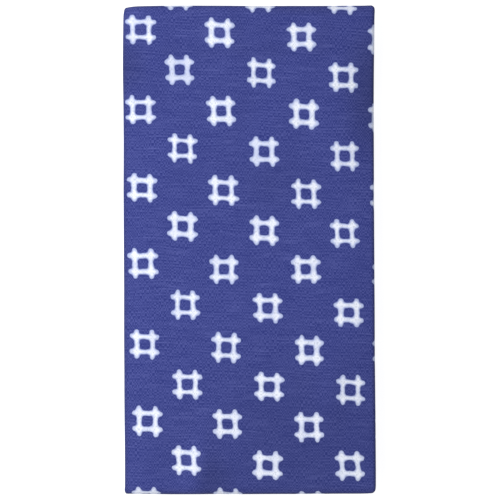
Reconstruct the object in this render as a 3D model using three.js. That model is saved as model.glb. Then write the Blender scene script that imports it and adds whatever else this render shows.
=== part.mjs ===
// A tenugui towel of thin cotton gauze with a fine pile back, cut about 345 by 900 mm. It lies folded flat: in thirds
// across its width, with both flaps behind the printed face, and then in half and in half again along its length.
// Twelve layers of one cloth make a stack about 117 mm wide, 228 mm long and 16 mm high.
// Millimetres. X runs across the towel, Y along it and Z up from the surface that it lies on.

import * as THREE from "three";

// The folded towel, edge to edge, and the cloth that it is folded from.
const FOLDED_WIDTH = 117;
const FOLDED_LENGTH = 227.5;
const CLOTH = 1;
const AIR = 0.35;
const PITCH = CLOTH + AIR;

// The strip is the cloth folded in thirds, and the stack is the strip folded in quarters.
const STRIP = 3 * PITCH;
const STRIPS_IN_STACK = 4;

// How far each free edge stops short of the fold that it lies behind.
const TUCKED_SELVEDGE_INSET = 5.6;
const COVERING_SELVEDGE_INSET = 2.6;
const UPPER_END_INSET = 3.4;
const LOWER_END_INSET = 2.2;

// The outer fold goes squarely round the inner one, with this radius at the middle of the strip in its two corners.
const OUTER_FOLD_RADIUS = 2.15;
const FOLD_CLEARANCE = 0.7;
const WALL_SHARES = [0.5, 1];

// How finely the flat stretches and the folds are stepped.
const EDGE_STATIONS = [5, 10, 18];
const MIDDLE_STATION = 36;
const LENGTHWISE_SHARES = [0.05, 0.16, 0.31, 0.5, 0.69, 0.84, 0.95, 1];
const NARROW_FOLD_STEPS = 6;
const WIDE_FOLD_STEPS = 8;
const CORNER_STEPS = 4;

// The strip's own middle lines: the narrow fold is on its left, the wide one on its right.
const HALF_WIDTH = FOLDED_WIDTH / 2;
const NARROW_RADIUS = PITCH / 2;
const WIDE_RADIUS = PITCH;
const NARROW_FOLD_X = -(HALF_WIDTH - CLOTH / 2 - NARROW_RADIUS);
const WIDE_FOLD_X = HALF_WIDTH - CLOTH / 2 - WIDE_RADIUS;
const TUCKED_EDGE_X = HALF_WIDTH - TUCKED_SELVEDGE_INSET;
const COVERING_EDGE_X = -(HALF_WIDTH - COVERING_SELVEDGE_INSET);

// How far each of the four strips in the stack lies out of line, from the bottom one up.
const STRIP_OFFSETS = [
  { level: 0, right: -0.45, away: -0.2 },
  { level: 1, right: 0.4, away: 0.15 },
  { level: 2, right: -0.4, away: -0.15 },
  { level: 3, right: 0, away: 0 },
];

// The outline as it lies: the stack leans a little, its right edge is drawn in along the middle, its near fold bows
// out, and its corners are rounded by how far each is pulled in.
const LEAN = 0.83;
const RIGHT_EDGE_WAIST = 0.4;
const NEAR_FOLD_BOW = 0.45;
const CORNER_REACH = 3.4;
const CORNERS = [
  { side: -1, end: 1, pullAcross: 0.65, pullAlong: 0.6 },
  { side: 1, end: 1, pullAcross: 0.3, pullAlong: -0.2 },
  { side: -1, end: -1, pullAcross: 0.25, pullAlong: 0.15 },
  { side: 1, end: -1, pullAcross: 0.45, pullAlong: 0.3 },
];

// Soft swells and hollows of the stack, each a share of its height that dies away over its two reaches.
const SWELLS = [
  { x: 0, y: 0, reachX: 400, reachY: 62, lift: -0.03 },
  { x: 63, y: 74, reachX: 10, reachY: 34, lift: -0.14 },
  { x: -28, y: 84, reachX: 34, reachY: 24, lift: 0.025 },
  { x: 22, y: -82, reachX: 40, reachY: 26, lift: 0.03 },
  { x: -60, y: 10, reachX: 9, reachY: 60, lift: -0.05 },
  { x: 60, y: -20, reachX: 8, reachY: 50, lift: -0.05 },
];

/** A route in the plane of Y and Z, walked in straight stretches and turns, that keeps each place and its heading. */
class Walk {
  constructor(y, z, heading) {
    this.stations = [{ y, z, heading }];
  }

  step(y, z, heading) {
    this.stations.push({ y, z, heading });
  }

  straight(length, shares) {
    const start = this.stations.at(-1);
    for (const share of shares) {
      const along = length * share;
      this.step(
        start.y + along * Math.cos(start.heading),
        start.z + along * Math.sin(start.heading),
        start.heading,
      );
    }
    return this;
  }

  /** Turns left for a positive angle and right for a negative one. */
  turn(radius, angle, steps) {
    const start = this.stations.at(-1);
    const side = Math.sign(angle);
    const centreY = start.y - side * radius * Math.sin(start.heading);
    const centreZ = start.z + side * radius * Math.cos(start.heading);
    for (let i = 1; i <= steps; i += 1) {
      const heading = start.heading + (angle * i) / steps;
      this.step(
        centreY + side * radius * Math.sin(heading),
        centreZ - side * radius * Math.cos(heading),
        heading,
      );
    }
    return this;
  }
}

/** The line that the middle of the strip follows, stepped only at its stations. */
class FoldLine extends THREE.Curve {
  constructor(stations) {
    super();
    this.stations = stations;
  }

  get steps() {
    return this.stations.length - 1;
  }

  station(t) {
    return this.stations[Math.round(t * this.steps)];
  }

  getPoint(t, target = new THREE.Vector3()) {
    const { y, z } = this.station(t);
    return target.set(0, y, z);
  }

  getPointAt(t, target) {
    return this.getPoint(t, target);
  }

  getTangentAt(t, target = new THREE.Vector3()) {
    const { heading } = this.station(t);
    return target.set(0, Math.cos(heading), Math.sin(heading));
  }
}

/** The places across the strip, between two of its edges, where the cloth may bend. */
function stationsAcross(from, to) {
  const all = [
    ...EDGE_STATIONS.map((inset) => inset - HALF_WIDTH),
    MIDDLE_STATION - HALF_WIDTH,
    0,
    HALF_WIDTH - MIDDLE_STATION,
    ...EDGE_STATIONS.map((inset) => HALF_WIDTH - inset).reverse(),
  ];
  const low = Math.min(from, to);
  const high = Math.max(from, to);
  const between = all.filter((x) => x > low + CLOTH && x < high - CLOTH);
  return from < to ? [from, ...between, to] : [from, ...between.reverse(), to];
}

/** Points of a half turn about (x, h), between its two flat ends. */
function halfTurn(x, h, radius, startAngle, sweep, steps) {
  const points = [];
  for (let i = 1; i < steps; i += 1) {
    const angle = startAngle + (sweep * i) / steps;
    points.push([x + radius * Math.cos(angle), h + radius * Math.sin(angle)]);
  }
  return points;
}

/** One side of the cloth across the folded strip, side 1 for its printed face and side -1 for its pile back. */
function sideOfSection(side) {
  const half = (side * CLOTH) / 2;
  const quarter = Math.PI / 2;
  const flat = (from, to, h) => stationsAcross(from, to).map((x) => [x, h]);
  return [
    ...flat(TUCKED_EDGE_X, NARROW_FOLD_X, -half),
    ...halfTurn(NARROW_FOLD_X, NARROW_RADIUS, NARROW_RADIUS + half, -quarter, -Math.PI, NARROW_FOLD_STEPS),
    ...flat(NARROW_FOLD_X, WIDE_FOLD_X, PITCH + half),
    ...halfTurn(WIDE_FOLD_X, 0, WIDE_RADIUS + half, quarter, -Math.PI, WIDE_FOLD_STEPS),
    ...flat(WIDE_FOLD_X, COVERING_EDGE_X, -PITCH - half),
  ];
}

/** The cut through the folded strip. Its first axis is the strip's height and its second runs to the left. */
function stripSection() {
  const outline = [...sideOfSection(1), ...sideOfSection(-1).reverse()];
  return new THREE.Shape(outline.map(([x, h]) => new THREE.Vector2(h, -x)));
}

/** The route of the strip: the bottom quarter, the outer fold, the top quarter, and the two quarters between. */
function stackRoute() {
  const level = (n) => PITCH + CLOTH / 2 + n * STRIP;
  const far = FOLDED_LENGTH / 2;
  const outerReach = OUTER_FOLD_RADIUS + STRIP / 2 - AIR / 2;
  const foldReach = STRIP - AIR / 2;
  const outerFoldY = far - outerReach;
  const nearFoldY = -far + foldReach;
  const innerFoldY = outerFoldY + OUTER_FOLD_RADIUS - STRIP / 2 - foldReach - FOLD_CLEARANCE;
  const start = -far + LOWER_END_INSET;
  const wall = level(3) - level(0) - 2 * OUTER_FOLD_RADIUS;
  return new Walk(start, level(0), 0)
    .straight(outerFoldY - start, LENGTHWISE_SHARES)
    .turn(OUTER_FOLD_RADIUS, Math.PI / 2, CORNER_STEPS)
    .straight(wall, WALL_SHARES)
    .turn(OUTER_FOLD_RADIUS, Math.PI / 2, CORNER_STEPS)
    .straight(outerFoldY - nearFoldY, LENGTHWISE_SHARES)
    .turn(STRIP / 2, Math.PI, WIDE_FOLD_STEPS)
    .straight(innerFoldY - nearFoldY, LENGTHWISE_SHARES)
    .turn(STRIP / 2, -Math.PI, WIDE_FOLD_STEPS)
    .straight(innerFoldY + far - UPPER_END_INSET, LENGTHWISE_SHARES).stations;
}

/** A soft step from 0 to 1. */
function ease(t) {
  const held = THREE.MathUtils.clamp(t, 0, 1);
  return held * held * (3 - 2 * held);
}

/** How far out of line the cloth lies at a height, between the two strips nearest to it. */
function offsetAt(z) {
  const level = THREE.MathUtils.clamp((z - STRIP / 2) / STRIP, 0, STRIPS_IN_STACK - 1);
  const below = STRIP_OFFSETS[Math.floor(level)];
  const above = STRIP_OFFSETS[Math.ceil(level)];
  const share = ease(level - below.level);
  return {
    right: THREE.MathUtils.lerp(below.right, above.right, share),
    away: THREE.MathUtils.lerp(below.away, above.away, share),
  };
}

/** The height of the stack at a place, as a share of its even height. */
function swellAt(x, y) {
  return SWELLS.reduce(
    (height, { x: cx, y: cy, reachX, reachY, lift }) =>
      height + lift * Math.exp(-(((x - cx) / reachX) ** 2) - ((y - cy) / reachY) ** 2),
    1,
  );
}

/** Moves a point of the evenly folded stack to where it lies in the soft one. The surface that it rests on stays flat. */
function settle(point) {
  const { x, y, z } = point;
  const acrossShare = x / HALF_WIDTH;
  const alongShare = y / (FOLDED_LENGTH / 2);
  const offset = offsetAt(z);
  let movedX = x + offset.right - (LEAN / 2) * alongShare;
  let movedY = y + offset.away;
  movedX -= RIGHT_EDGE_WAIST * ease(acrossShare) * (1 - alongShare ** 2);
  movedY -= NEAR_FOLD_BOW * ease(-alongShare) * ease(z / STRIP - 2) * (1 - acrossShare ** 2);
  for (const { side, end, pullAcross, pullAlong } of CORNERS) {
    const dx = x - side * HALF_WIDTH;
    const dy = y - (end * FOLDED_LENGTH) / 2;
    const near = Math.exp(-(dx * dx + dy * dy) / CORNER_REACH ** 2);
    movedX -= side * pullAcross * near;
    movedY -= end * pullAlong * near;
  }
  return point.set(movedX, movedY, z * swellAt(x, y));
}

/** The whole cloth as one closed solid, centred over the origin. */
function foldedCloth() {
  const route = new FoldLine(stackRoute());
  const geometry = new THREE.ExtrudeGeometry(stripSection(), {
    steps: route.steps,
    extrudePath: route,
  });
  const position = geometry.getAttribute("position");
  const point = new THREE.Vector3();
  for (let i = 0; i < position.count; i += 1) {
    settle(point.fromBufferAttribute(position, i));
    position.setXYZ(i, point.x, point.y, point.z);
  }
  geometry.computeBoundingBox();
  const middle = geometry.boundingBox.getCenter(new THREE.Vector3());
  geometry.translate(-middle.x, -middle.y, 0);
  geometry.computeVertexNormals();
  return geometry;
}

const indigoCotton = new THREE.MeshStandardMaterial({
  color: 0x454d8d,
  roughness: 0.92,
  metalness: 0,
});

const towel = new THREE.Mesh(foldedCloth(), indigoCotton);
towel.name = "towel";

const part = new THREE.Group();
part.name = "folded_tenugui";
part.add(towel);

export default part;
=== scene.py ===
"""A tenugui towel of cotton gauze with a fine pile back, folded flat.

The cloth is cut flat, given its thickness, folded in thirds across and in quarters along, and settled into
a soft stack. Sizes are in metres where nothing else is said. X runs across the towel, Y along it and Z up
from the surface that it lies on.
"""

import logging
import math
from bisect import bisect_right
from dataclasses import dataclass, field
from enum import Enum, IntEnum
from typing import ClassVar, NamedTuple

import bmesh
import bpy
from mathutils import Matrix, Vector, noise


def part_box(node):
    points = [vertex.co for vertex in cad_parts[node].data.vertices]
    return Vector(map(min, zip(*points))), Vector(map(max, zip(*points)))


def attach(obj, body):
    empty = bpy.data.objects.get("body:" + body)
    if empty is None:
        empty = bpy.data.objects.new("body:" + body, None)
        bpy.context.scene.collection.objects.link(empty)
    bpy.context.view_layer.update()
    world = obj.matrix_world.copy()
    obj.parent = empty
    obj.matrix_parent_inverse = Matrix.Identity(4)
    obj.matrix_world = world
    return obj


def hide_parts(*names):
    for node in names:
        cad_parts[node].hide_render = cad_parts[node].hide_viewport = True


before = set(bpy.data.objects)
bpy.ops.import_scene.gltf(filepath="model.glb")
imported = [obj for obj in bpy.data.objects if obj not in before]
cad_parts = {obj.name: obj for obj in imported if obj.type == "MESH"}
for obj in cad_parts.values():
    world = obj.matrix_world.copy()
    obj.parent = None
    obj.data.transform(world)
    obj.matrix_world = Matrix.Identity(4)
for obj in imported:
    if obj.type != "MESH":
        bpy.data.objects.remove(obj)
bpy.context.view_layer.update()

log = logging.getLogger("towel")

Socket = bpy.types.NodeSocket
Sockets = bpy.types.bpy_prop_collection
Pair = tuple[float, float]
Triple = tuple[float, float, float]
Colour = tuple[float, float, float, float]

MM = 0.001
QUARTER_TURN = math.pi / 2
UV_NAME = "flat_cloth"

# How a screen's steps of brightness stand to light: its dark toe is straight, and the rest is a power
SCREEN_STEPS = 255
SCREEN_TOE = 0.04045
SCREEN_TOE_SLOPE = 12.92
SCREEN_LIFT = 0.055
SCREEN_POWER = 2.4


class Spacing(Enum):
    """How the steps along a stretch of cloth are spread."""

    EVEN = "even"
    CLOSER_AT_ENDS = "closer at its ends"


class Side(IntEnum):
    """The sides of the cloth, as places in its list of finishes."""

    FACE = 0
    BACK = 1
    EDGE = 2


class Change(NamedTuple):
    """How one number changes softly as another goes over a range.

    Attributes:
        low: Where in the range the change begins.
        high: Where it ends.
        start: The number up to low.
        end: The number from high on.
    """

    low: float
    high: float
    start: float = 0.0
    end: float = 1.0


def ease(share: float) -> float:
    """Gives a soft step from 0 to 1 as share goes from 0 to 1."""
    held = min(max(share, 0.0), 1.0)
    return held * held * (3 - 2 * held)


def from_screen(red: int, green: int, blue: int) -> Colour:
    """Turns a colour as a screen shows it into the linear one that a shader takes.

    Args:
        red: From 0 to 255.
        green: From 0 to 255.
        blue: From 0 to 255.

    Returns:
        The linear colour.
    """
    linear = []
    for value in (red, green, blue):
        share = value / SCREEN_STEPS
        if share <= SCREEN_TOE:
            linear.append(share / SCREEN_TOE_SLOPE)
        else:
            linear.append(((share + SCREEN_LIFT) / (1 + SCREEN_LIFT)) ** SCREEN_POWER)
    return (*linear, 1.0)


def add_object(name: str, data: bpy.types.ID) -> bpy.types.Object:
    """Adds an object to the scene, at the origin.

    Args:
        name: Its name.
        data: Its mesh, light or camera.

    Returns:
        The object.
    """
    made = bpy.data.objects.new(name, data)
    bpy.context.scene.collection.objects.link(made)
    return made


def add_mesh(name: str, bm: bmesh.types.BMesh) -> bpy.types.Object:
    """Adds a finished mesh to the scene and frees what it was worked in.

    Args:
        name: The name of the mesh and its object.
        bm: The finished mesh.

    Returns:
        The object.
    """
    mesh = bpy.data.meshes.new(name)
    bm.to_mesh(mesh)
    bm.free()
    return add_object(name, mesh)


@dataclass(frozen=True)
class Stretch:
    """A straight run or an even turn of a line that cloth follows.

    Attributes:
        start: Where it starts, in the line's own plane.
        heading: Its direction there, in radians.
        length: How long it is.
        turn: How far it turns to its left, in radians, and 0 where it is straight.
        steps: How many steps the cloth has along it.
        spacing: How those steps are spread.
    """

    start: Pair
    heading: float
    length: float
    turn: float
    steps: int
    spacing: Spacing

    def place(self, along: float, left: float) -> Pair:
        """Finds a place beside the stretch.

        Args:
            along: How far along the stretch it is.
            left: How far to the left of the stretch it is.

        Returns:
            The place in the line's own plane.
        """
        a, b = self.start
        if self.turn == 0:
            ahead, aside = math.cos(self.heading), math.sin(self.heading)
            return a + along * ahead - left * aside, b + along * aside + left * ahead
        radius = self.length / self.turn
        heading = self.heading + self.turn * along / self.length
        centre_a = a - radius * math.sin(self.heading)
        centre_b = b + radius * math.cos(self.heading)
        reach = radius - left
        return centre_a + reach * math.sin(heading), centre_b - reach * math.cos(heading)

    def stations(self) -> list[float]:
        """Lists where the steps of the cloth end.

        Returns:
            How far along the stretch each step ends.
        """
        shares = [(i + 1) / self.steps for i in range(self.steps)]
        if self.spacing is Spacing.CLOSER_AT_ENDS:
            shares = [(1 - math.cos(math.pi * share)) / 2 for share in shares]
        return [self.length * share for share in shares]


@dataclass
class FoldLine:
    """A line that cloth follows through its folds, built one stretch at a time.

    Attributes:
        start: Where the line starts, in its own plane, and later where its next stretch does.
        heading: Its direction there, in radians.
        stretches: The runs and turns of the line, in order.
        starts: How far along the line each of them starts.
        length: How long the line is.
    """

    start: Pair
    heading: float
    stretches: list[Stretch] = field(default_factory=list)
    starts: list[float] = field(default_factory=list)
    length: float = 0.0

    def _add(self, length: float, turn: float, steps: int, spacing: Spacing) -> None:
        """Adds a stretch at the end of the line.

        Args:
            length: How long it is.
            turn: How far it turns to its left, in radians.
            steps: How many steps the cloth has along it.
            spacing: How those steps are spread.
        """
        stretch = Stretch(self.start, self.heading, length, turn, steps, spacing)
        self.stretches.append(stretch)
        self.starts.append(self.length)
        self.start = stretch.place(length, 0.0)
        self.heading += turn
        self.length += length

    def run(self, length: float, steps: int, spacing: Spacing = Spacing.EVEN) -> None:
        """Adds a straight run of a length, with the cloth's steps along it and how they are spread."""
        self._add(length, 0.0, steps, spacing)

    def bend(self, radius: float, turn: float, steps: int) -> None:
        """Adds an even turn, to the left where it is positive, with the cloth's steps round it."""
        self._add(radius * abs(turn), turn, steps, Spacing.EVEN)

    def stations(self) -> list[float]:
        """Lists where the steps of the cloth end.

        Returns:
            How far along the line each step ends, from 0 on.
        """
        found = [0.0]
        for begins, stretch in zip(self.starts, self.stretches):
            found.extend(begins + along for along in stretch.stations())
        return found

    def _at(self, distance: float) -> tuple[Stretch, float]:
        """Finds the stretch at a distance along the line, and how far along that stretch it is."""
        index = max(bisect_right(self.starts, distance) - 1, 0)
        return self.stretches[index], distance - self.starts[index]

    def turned(self, distance: float) -> float:
        """Gives how far the line has turned to its left by a distance along it, in radians."""
        stretch, along = self._at(distance)
        return stretch.heading - self.stretches[0].heading + stretch.turn * (along / stretch.length)

    def place(self, distance: float, left: float) -> Pair:
        """Finds the place at a distance along the line and so far to its left, in the line's own plane."""
        stretch, along = self._at(distance)
        return stretch.place(along, left)


@dataclass
class FoldedStack:
    """The evenly folded towel: the cloth in thirds across, and that strip in quarters along.

    Attributes:
        width: The stack from side to side.
        length: The stack from end to end.
        cloth: The thickness of the cloth.
        air: The room between two layers.
        panels: How many layers the folds across give the strip.
        quarters: How many layers of the strip the folds along give the stack.
        tucked_inset: How far the tucked selvedge stops short of the wide fold's side.
        covering_inset: How far the covering selvedge stops short of the narrow fold's side.
        upper_end_inset: How far the upper cut end stops short of the near end.
        lower_end_inset: How far the lower cut end stops short of the near end.
        outer_fold_radius: The radius, at the strip's middle, of the outer fold's two corners.
        fold_clearance: The room between the inner and the outer fold.
        printed_panel_steps: The cloth's steps across its printed panel.
        hidden_panel_steps: Its steps across each of the other two.
        narrow_fold_steps: Its steps round the narrow fold.
        wide_fold_steps: Its steps round each wide fold.
        top_quarter_steps: Its steps along the top quarter.
        bottom_quarter_steps: Its steps along the bottom one.
        inner_quarter_steps: Its steps along each of the two between them.
        corner_steps: Its steps round each corner of the outer fold.
        wall_steps: Its steps between those two corners.
        section: The line that the cloth follows across the strip.
        route: The line that the strip follows through the stack.
        middle_across: How far along the section the middle of the printed panel is.
        middle_along: How far along the route the middle of the top quarter is.
    """

    width: float = 117 * MM
    length: float = 227.5 * MM
    cloth: float = 1 * MM
    air: float = 0.35 * MM
    panels: int = 3
    quarters: int = 4
    tucked_inset: float = 5.6 * MM
    covering_inset: float = 2.6 * MM
    upper_end_inset: float = 3.4 * MM
    lower_end_inset: float = 2.2 * MM
    outer_fold_radius: float = 2.15 * MM
    fold_clearance: float = 0.7 * MM
    printed_panel_steps: int = 60
    hidden_panel_steps: int = 22
    narrow_fold_steps: int = 10
    wide_fold_steps: int = 12
    top_quarter_steps: int = 112
    bottom_quarter_steps: int = 56
    inner_quarter_steps: int = 34
    corner_steps: int = 7
    wall_steps: int = 5
    section: FoldLine = field(init=False)
    route: FoldLine = field(init=False)
    middle_across: float = field(init=False)
    middle_along: float = field(init=False)

    def __post_init__(self) -> None:
        """Works out the two lines that the cloth follows."""
        self.section = self._across()
        self.route = self._along()

    @property
    def pitch(self) -> float:
        """The height of one layer with its air."""
        return self.cloth + self.air

    @property
    def strip(self) -> float:
        """The height of the cloth in thirds, with its air."""
        return self.panels * self.pitch

    @property
    def height(self) -> float:
        """The height of the whole stack."""
        return self.quarters * self.strip - self.air

    def _across(self) -> FoldLine:
        """Follows the cloth across the strip, with the printed face on its left.

        Returns:
            The line from the tucked selvedge to the covering one.
        """
        half = self.width / 2
        narrow, wide = self.pitch / 2, self.pitch
        narrow_x = self.cloth / 2 + narrow - half
        wide_x = half - self.cloth / 2 - wide
        tucked_x = half - self.tucked_inset
        covering_x = self.covering_inset - half
        line = FoldLine((tucked_x, 0.0), math.pi)
        line.run(tucked_x - narrow_x, self.hidden_panel_steps, Spacing.CLOSER_AT_ENDS)
        line.bend(narrow, -math.pi, self.narrow_fold_steps)
        self.middle_across = line.length - narrow_x
        line.run(wide_x - narrow_x, self.printed_panel_steps)
        line.bend(wide, -math.pi, self.wide_fold_steps)
        line.run(wide_x - covering_x, self.hidden_panel_steps, Spacing.CLOSER_AT_ENDS)
        return line

    def _along(self) -> FoldLine:
        """Follows the strip through the stack, with the printed face on its right.

        Returns:
            The line from the lower cut end to the upper one.
        """
        far = self.length / 2
        half_strip = self.strip / 2
        bottom = self.pitch + self.cloth / 2
        fold_reach = self.strip - self.air / 2
        outer_y = far - self.outer_fold_radius - half_strip + self.air / 2
        near_y = fold_reach - far
        inner_y = outer_y + self.outer_fold_radius - half_strip - fold_reach - self.fold_clearance
        wall = (self.quarters - 1) * self.strip - 2 * self.outer_fold_radius
        start = self.lower_end_inset - far
        line = FoldLine((start, bottom), 0.0)
        line.run(outer_y - start, self.bottom_quarter_steps)
        line.bend(self.outer_fold_radius, QUARTER_TURN, self.corner_steps)
        line.run(wall, self.wall_steps)
        line.bend(self.outer_fold_radius, QUARTER_TURN, self.corner_steps)
        self.middle_along = line.length + outer_y
        line.run(outer_y - near_y, self.top_quarter_steps)
        line.bend(half_strip, math.pi, self.wide_fold_steps)
        line.run(inner_y - near_y, self.inner_quarter_steps, Spacing.CLOSER_AT_ENDS)
        line.bend(half_strip, -math.pi, self.wide_fold_steps)
        line.run(inner_y + far - self.upper_end_inset, self.inner_quarter_steps, Spacing.CLOSER_AT_ENDS)
        return line

    def columns(self) -> list[float]:
        """Lists the flat cloth's steps across, measured from the middle of its printed panel."""
        return [distance - self.middle_across for distance in self.section.stations()]

    def rows(self) -> list[float]:
        """Lists the flat cloth's steps along, measured from the middle of its top quarter."""
        return [self.middle_along - distance for distance in reversed(self.route.stations())]

    def fold(self, flat: Vector) -> Vector:
        """Folds a point of the flat cloth.

        Args:
            flat: The point, its height counted from the middle of the cloth towards the printed face.

        Returns:
            Where it lies in the evenly folded stack.
        """
        x, rise = self.section.place(flat.x + self.middle_across, flat.z)
        y, z = self.route.place(self.middle_along - flat.y, -rise)
        return Vector((x, y, z))

    def print_place(self, flat: Vector) -> Pair:
        """Finds where a point of the cloth is on its print, whose marks keep their size round the folds.

        Args:
            flat: The point of the flat cloth.

        Returns:
            The place on the print, from the middle of the printed panel of the top quarter.
        """
        across, along = flat.x + self.middle_across, self.middle_along - flat.y
        turned_across = self.section.turned(across) - self.section.turned(self.middle_across)
        turned_along = self.route.turned(along) - self.route.turned(self.middle_along)
        return flat.x - flat.z * turned_across, flat.y - (self.pitch + flat.z) * turned_along


@dataclass(frozen=True)
class Offset:
    """How far one strip of the stack lies out of line.

    Attributes:
        right: How far it lies to the right, across the towel.
        away: How far it lies towards the far end.
    """

    right: float
    away: float


@dataclass(frozen=True)
class Corner:
    """A corner of the stack, and how far it is rounded.

    Attributes:
        side: 1 on the right and -1 on the left.
        end: 1 at the far end and -1 at the near one.
        pull_across: How far it is drawn in across the towel.
        pull_along: How far it is drawn in along the towel.
    """

    side: int
    end: int
    pull_across: float
    pull_along: float


@dataclass(frozen=True)
class Swell:
    """A soft swell or hollow of the whole stack, with places and reaches in millimetres.

    Attributes:
        x: Its middle across the towel.
        y: Its middle along the towel.
        reach_x: How far it goes to each side across the towel before it dies away.
        reach_y: How far it goes to each side along it.
        lift: How much higher the stack is at its middle, as a share of the stack's height.
    """

    x: float
    y: float
    reach_x: float
    reach_y: float
    lift: float

    def at(self, x: float, y: float) -> float:
        """Gives how much higher the stack is at a place.

        Args:
            x: The place across the towel, in metres.
            y: The place along it, in metres.

        Returns:
            The lift, as a share of the stack's height.
        """
        across = (x - self.x * MM) / (self.reach_x * MM)
        along = (y - self.y * MM) / (self.reach_y * MM)
        return self.lift * math.exp(-(across**2) - along**2)


@dataclass(frozen=True)
class Crease:
    """A soft trough or ridge in the printed face, with its sizes in millimetres.

    Attributes:
        x: Its middle across the towel.
        y: Its middle along the towel.
        turn: The angle from X to its line, in degrees.
        reach: How far it goes to each side before it dies away.
        width: How wide it is to each side of its line.
        rise: Its height, below 0 for a trough.
    """

    x: float
    y: float
    turn: float
    reach: float
    width: float
    rise: float

    def at(self, x: float, y: float) -> float:
        """Gives how far the crease lifts the face at a place.

        Args:
            x: The place across the towel, in metres.
            y: The place along it, in metres.

        Returns:
            The lift, in metres.
        """
        ahead, aside = math.cos(math.radians(self.turn)), math.sin(math.radians(self.turn))
        dx, dy = x - self.x * MM, y - self.y * MM
        along = (dx * ahead + dy * aside) / (self.reach * MM)
        across = (dy * ahead - dx * aside) / (self.width * MM)
        return self.rise * MM * math.exp(-along * along - across * across)


@dataclass(frozen=True)
class Wander:
    """A smooth, uneven wander that is different in each layer.

    Attributes:
        size: How far it goes at most.
        length: How far apart its turns are along the cloth.
        height: How far apart they are from layer to layer.
        start: Where in the wander it starts, so that no two are alike.
        swing: How strongly it swings between nothing and all where it draws an edge in.
    """

    size: float
    length: float
    height: float
    start: float
    swing: float = 0.7

    def at(self, a: float, b: float, z: float) -> float:
        """Gives the wander at a place on the cloth and a height.

        Args:
            a: The place one way.
            b: The place the other way.
            z: The height.

        Returns:
            From minus to plus about the wander's size.
        """
        layer = z / self.height + self.start
        spot = Vector((a / self.length + self.start, b / self.length - self.start, layer))
        return self.size * noise.noise(spot)

    def inward(self, along: float, edge: float, z: float) -> float:
        """Gives how far an edge is drawn in, which is never less than nothing.

        Args:
            along: The place along the edge.
            edge: Which edge it is, below 0 on the left or at the near end.
            z: The height.

        Returns:
            From 0 to about the wander's size.
        """
        spot = Vector((along / self.length + self.start, math.copysign(self.start, edge), z / self.height))
        return self.size * ease(0.5 + self.swing * noise.noise(spot))


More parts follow.
